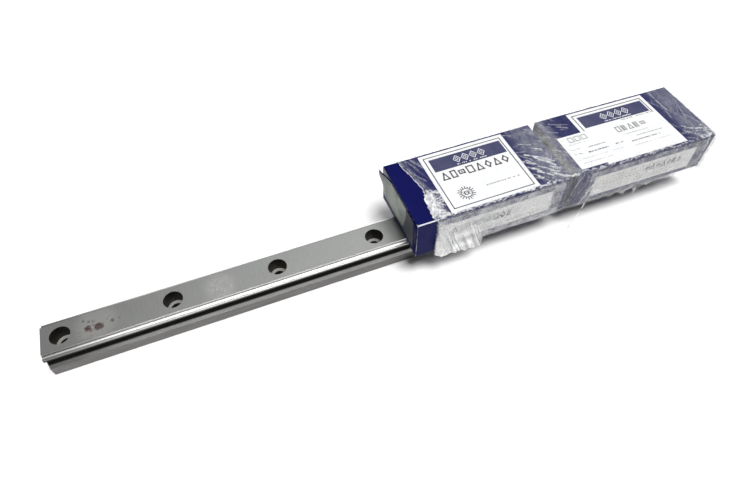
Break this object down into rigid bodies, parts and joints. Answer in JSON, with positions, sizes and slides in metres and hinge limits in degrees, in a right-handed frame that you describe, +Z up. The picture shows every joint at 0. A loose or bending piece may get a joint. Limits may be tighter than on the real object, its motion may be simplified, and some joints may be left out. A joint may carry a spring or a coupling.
{
  "type": "linear guide rail with boxed carriages",
  "caption": "Ground steel linear guide rail with counterbored bolt holes, carrying boxed guide carriages wrapped in clear stretch film.",
  "frame": {"origin": "where the axis of the first bolt hole meets the rail's seating face", "axes": "+X along the rail from the first hole towards the cartons, +Z up out of the rail's top, +Y across the rail"},
  "size_m": [0.4092, 0.0528, 0.0462],
  "materials": {
    "rail_steel": "ground, with bright raceways",
    "block_steel": "ground",
    "carton_board": "navy print, slightly glossy",
    "label_paper": "white, satin",
    "film": "clear stretch film",
    "jig_plastic": "moulded",
    "end_plate_plastic": "moulded",
    "seal_rubber": "smooth",
    "ball_steel": "polished",
    "retainer_steel": "rolled strip",
    "screw_steel": "plated",
    "nipple_steel": "plated",
    "plug_plastic": "moulded"
  },
  "bodies": {
    "rail": {"guide_rail": "rail_steel"},
    "pack": {"carton_1_sleeve": "carton_board", "carton_1_closure_right": "carton_board", "carton_1_dust_flaps_left": "carton_board", "carton_1_dust_flaps_right": "carton_board", "carton_1_top_label": "label_paper", "carton_1_side_label": "label_paper", "carton_2_sleeve": "carton_board", "carton_2_closure_left": "carton_board", "carton_2_closure_right": "carton_board", "carton_2_dust_flaps_left": "carton_board", "carton_2_dust_flaps_right": "carton_board", "carton_2_top_label": "label_paper", "carton_2_side_label": "label_paper", "mounting_jig_1": "jig_plastic", "mounting_jig_2": "jig_plastic", "carton_2_over_label": "label_paper", "film_wrap": "film"},
    "end_flap_1": {"carton_1_closure_left": "carton_board", "carton_1_end_label": "label_paper"},
    "carriage_1": {"carriage_1_block": "block_steel", "carriage_1_end_plate_front": "end_plate_plastic", "carriage_1_end_plate_rear": "end_plate_plastic", "carriage_1_end_seal_front": "seal_rubber", "carriage_1_end_seal_rear": "seal_rubber", "carriage_1_upper_balls": "ball_steel", "carriage_1_lower_balls": "ball_steel", "carriage_1_side_seals": "seal_rubber", "carriage_1_ball_retainers": "retainer_steel", "carriage_1_end_plate_screws": "screw_steel", "carriage_1_grease_nipple": "nipple_steel", "carriage_1_port_plug": "plug_plastic"},
    "carriage_2": {"carriage_2_block": "block_steel", "carriage_2_end_plate_front": "end_plate_plastic", "carriage_2_end_plate_rear": "end_plate_plastic", "carriage_2_end_seal_front": "seal_rubber", "carriage_2_end_seal_rear": "seal_rubber", "carriage_2_upper_balls": "ball_steel", "carriage_2_lower_balls": "ball_steel", "carriage_2_side_seals": "seal_rubber", "carriage_2_ball_retainers": "retainer_steel", "carriage_2_end_plate_screws": "screw_steel", "carriage_2_grease_nipple": "nipple_steel", "carriage_2_port_plug": "plug_plastic"}
  },
  "joints": [
    {"name": "pack_slide", "type": "slide", "parent": "rail", "child": "pack", "axis": [1, 0, 0], "range_m": [-0.19, 0.07]},
    {"name": "end_flap_hinge", "type": "hinge", "parent": "pack", "child": "end_flap_1", "pos_m": [0.19685, 0.0017, 0.0187], "axis": [0, -1, 0], "range_deg": [0, 90]},
    {"name": "carriage_1_slide", "type": "slide", "parent": "pack", "child": "carriage_1", "axis": [1, 0, 0], "range_m": [-0.0006, 0.0006]},
    {"name": "carriage_2_slide", "type": "slide", "parent": "pack", "child": "carriage_2", "axis": [0.9999, -0.0161, 0], "range_m": [-0.0006, 0.0006]}
  ]
}
